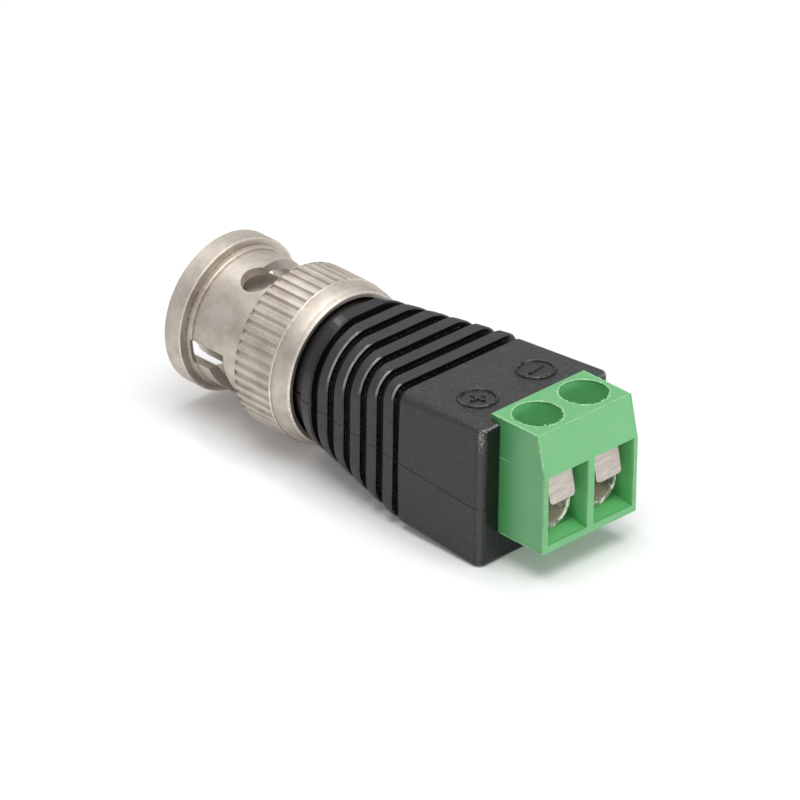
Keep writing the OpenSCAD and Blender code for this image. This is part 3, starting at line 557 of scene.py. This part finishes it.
def edge_flash(name, points, normal, width, height, seed):
    """A thin whitened bead along one edge of the green housing."""
    bm = bmesh.new()
    n = Vector(normal).normalized()
    path = []
    for a, b in zip(points, points[1:]):
        a, b = Vector(a), Vector(b)
        steps = max(2, int((b - a).length / 0.25))
        path += [a + (b - a) * i / steps for i in range(steps)]
    path.append(Vector(points[-1]))
    sides = []
    for i in range(len(path)):
        along = (path[min(i + 1, len(path) - 1)] - path[max(i - 1, 0)]).normalized()
        sides.append(along.cross(n).normalized())
    strip(bm, [p * MM for p in path], sides, [n] * len(path), width * MM, height * MM, wobble=0.35, seed=seed)
    piece(name, bm, pale, "plug")


half, top, face, slope = T_HALF, T_TOP, T_FACE, T_SLOPE
edge_flash("flash_top_front", [(slope, -half, top), (slope, half, top)], (0.4, 0, 1), 0.05, 0.014, 31)
edge = T_FRONT - 0.078
edge_flash("flash_slope_left", [(slope, -half, top), (edge, -half, face)], (0.35, -0.94, 0), 0.10, 0.03, 32)
edge_flash("flash_slope_right", [(slope, half, top), (edge, half, face)], (0.35, 0.94, 0), 0.10, 0.03, 33)
edge_flash("flash_front_left", [(edge, -half, face), (edge, -half, T_BOTTOM)], (0.35, -0.94, 0), 0.10, 0.03, 34)
edge_flash("flash_front_right", [(edge, half, face), (edge, half, T_BOTTOM)], (0.35, 0.94, 0), 0.10, 0.03, 35)
edge_flash("flash_foot", [(edge, -half, T_BOTTOM), (edge, half, T_BOTTOM)], (0.35, 0, -0.94), 0.10, 0.03, 36)
edge_flash("flash_top_left", [(34.6, -half, top), (slope, -half, top)], (0, -0.7, 0.7), 0.08, 0.02, 37)
edge_flash("flash_foot_left", [(35.8, -half, T_BOTTOM), (T_FRONT, -half, T_BOTTOM)], (0, -0.7, -0.7), 0.12, 0.04, 38)


def wave_spring(front, inner, outer, height, thick):
    """The wave washer again, as a wavy piece of its own in place of the model's washer, which is hidden."""
    bm = bmesh.new()
    count = 180
    rings = []
    for i in range(count):
        a = math.tau * i / count
        lift = (height - thick) / 2 * (1 + math.cos(3 * a))
        rings.append([bm.verts.new(v(front + lift + dx, r * math.cos(a), r * math.sin(a))) for r, dx in (
            (inner, 0.03), (inner + 0.03, 0), (outer - 0.03, 0), (outer, 0.03),
            (outer, thick - 0.03), (outer - 0.03, thick), (inner + 0.03, thick), (inner, thick - 0.03))])
    for i in range(count):
        a, b = rings[i], rings[(i + 1) % count]
        for k in range(8):
            m = (k + 1) % 8
            bm.faces.new((a[k], a[m], b[m], b[k]))
    obj = piece("wave_spring", bm, spring_steel, "plug")
    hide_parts("wave_washer")
    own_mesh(obj)


WAVE = [c for c in NODES["wave_washer"].bound_box]
WAVE_FRONT = min(c[0] for c in WAVE) / MM
WAVE_OUTER = max(c[2] for c in WAVE) / MM
wave_spring(WAVE_FRONT, 3.85, WAVE_OUTER, 1.2, 0.2)

# Floor, backdrop and light

NUT_FOOT = Vector((11.9, 0, -6.95))
BLOCK_FOOT = Vector((35.3, 0, -6.3))
fall = math.atan2(BLOCK_FOOT.z - NUT_FOOT.z, BLOCK_FOOT.x - NUT_FOOT.x)


def floor_material():
    g = Graph("floor_white", IOR=1.45)
    cloud = g.noise(0.01, 2, 0.5)
    g.color(g.mix(cloud, (0.93, 0.93, 0.93), (0.95, 0.95, 0.95)))
    g.bsdf.inputs["Roughness"].default_value = 0.9
    g.bsdf.inputs["Specular IOR Level"].default_value = 0.0
    # The floor is a little lighter to the camera and in reflections, as in a bright cut-out photograph
    glow = g.node("ShaderNodeEmission")
    glow.inputs["Strength"].default_value = 0.11
    lighter = g.node("ShaderNodeAddShader")
    g.link(g.bsdf.outputs[0], lighter.inputs[0])
    g.link(glow.outputs[0], lighter.inputs[1])
    path = g.node("ShaderNodeLightPath")
    seen = g.node("ShaderNodeMixShader")
    g.link(g.math("MAXIMUM", path.outputs["Is Camera Ray"], path.outputs["Is Glossy Ray"]), seen.inputs[0])
    g.link(g.bsdf.outputs[0], seen.inputs[1])
    g.link(lighter.outputs[0], seen.inputs[2])
    g.link(seen.outputs[0], g.out.inputs[0])
    return g.mat


bm = bmesh.new()
bmesh.ops.create_grid(bm, x_segments=4, y_segments=4, size=3.0)
mesh = bpy.data.meshes.new("floor")
bm.to_mesh(mesh)
bm.free()
mesh.materials.append(floor_material())
floor = bpy.data.objects.new("floor", mesh)
floor.matrix_world = Matrix.Translation(NUT_FOOT * MM - Vector((0, 0, 0.00002))) @ Matrix.Rotation(-fall, 4, "Y")
bpy.context.scene.collection.objects.link(floor)


def area(name, at, target, width, height, power):
    data = bpy.data.lights.new(name, "AREA")
    data.shape = "RECTANGLE"
    data.size, data.size_y = width, height
    data.energy = power
    obj = bpy.data.objects.new(name, data)
    obj.location = Vector(at)
    obj.rotation_euler = (Vector(at) - Vector(target)).to_track_quat("Z", "Y").to_euler()
    bpy.context.scene.collection.objects.link(obj)
    return obj


centre = (0.02, 0, 0)
area("softbox_top", (0.07, -0.02, 0.38), centre, 0.34, 0.34, 1.40)
area("softbox_front", (0.40, 0.07, 0.06), (0.036, 0, 0), 0.24, 0.10, 0.53)
area("softbox_back", (-0.24, 0.055, 0.322), centre, 0.035, 0.22, 0.18)

world = bpy.data.worlds.new("studio")
bpy.context.scene.world = world
world.use_nodes = True
tree = world.node_tree
tree.nodes.clear()
out = tree.nodes.new("ShaderNodeOutputWorld")
path = tree.nodes.new("ShaderNodeLightPath")


def sky(strength):
    background = tree.nodes.new("ShaderNodeBackground")
    background.inputs["Color"].default_value = (1, 1, 1, 1)
    background.inputs["Strength"].default_value = strength
    return background.outputs[0]


def choose(ray, otherwise, chosen):
    mixer = tree.nodes.new("ShaderNodeMixShader")
    tree.links.new(path.outputs[ray], mixer.inputs[0])
    tree.links.new(otherwise, mixer.inputs[1])
    tree.links.new(chosen, mixer.inputs[2])
    return mixer.outputs[0]


reflected = choose("Is Glossy Ray", sky(0.20), sky(0.64))
tree.links.new(choose("Is Camera Ray", reflected, sky(1.0)), out.inputs[0])
bpy.context.scene.view_settings.view_transform = "Standard"
